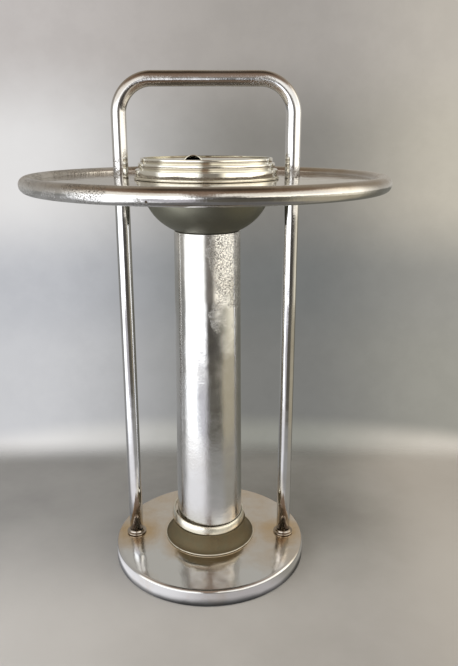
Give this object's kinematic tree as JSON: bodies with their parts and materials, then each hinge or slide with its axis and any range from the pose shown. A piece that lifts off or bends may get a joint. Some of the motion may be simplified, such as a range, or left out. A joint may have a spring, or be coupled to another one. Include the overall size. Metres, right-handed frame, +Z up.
{
  "type": "smoker's stand",
  "caption": "Free-standing smoker's stand: weighted round base, bent tube frame with carrying handle, tubular column, round tray, and an ash receiver with a stepped lift-off cover.",
  "frame": {"origin": "centre of the base's underside, on the surface that the stand stands on", "axes": "+Z up, along the column; +X through the two uprights, towards the right one; -Y towards the front"},
  "size_m": [0.386, 0.386, 0.559],
  "materials": {
    "tube_chrome": "polished chrome plate, fine scratches, brown film on upper faces",
    "tray_chrome": "polished chrome plate under a brown tarnish film, pitted",
    "column_chrome": "polished chrome plate, peppered with pits on its upper half",
    "base_chrome": "polished chrome plate with orange-brown tarnish round the fittings",
    "cover_nickel": "spun and polished, slightly yellow",
    "bowl_steel": "dull satin, olive-grey",
    "foot_tarnish": "dull olive-brown tarnish",
    "ring_nickel": "polished, slightly yellow",
    "fastener_steel": "plain turned steel",
    "cast_iron": "as cast, painted black",
    "felt": "dark green felt"
  },
  "bodies": {
    "stand": {"base_shell": "base_chrome", "base_weight": "cast_iron", "base_pad": "felt", "handle_frame": "tube_chrome", "left_ferrule": "tube_chrome", "right_ferrule": "tube_chrome", "left_rod_plug": "fastener_steel", "right_rod_plug": "fastener_steel", "left_rod_screw": "fastener_steel", "right_rod_screw": "fastener_steel", "left_rod_washer": "fastener_steel", "right_rod_washer": "fastener_steel", "column_foot": "foot_tarnish", "column_tube": "column_chrome", "tie_rod": "fastener_steel", "base_washer": "fastener_steel", "base_nut": "fastener_steel", "bowl_washer": "fastener_steel", "bowl_nut": "fastener_steel", "tray_ring": "tray_chrome", "tray_pan": "tray_chrome", "left_tray_collar": "fastener_steel", "right_tray_collar": "fastener_steel", "left_grub_screw": "fastener_steel", "right_grub_screw": "fastener_steel", "receiver_bowl": "bowl_steel"},
    "cover": {"cover_collar": "cover_nickel", "cover_plate": "cover_nickel", "drop_hood": "cover_nickel"},
    "foot_ring": {"foot_ring": "ring_nickel"}
  },
  "joints": [
    {"name": "cover_lift", "type": "slide", "parent": "stand", "child": "cover", "axis": [0, 0, 1], "range_m": [0, 0.06]},
    {"name": "foot_ring_slide", "type": "slide", "parent": "stand", "child": "foot_ring", "axis": [0, 0, 1], "range_m": [0, 0.338]}
  ]
}
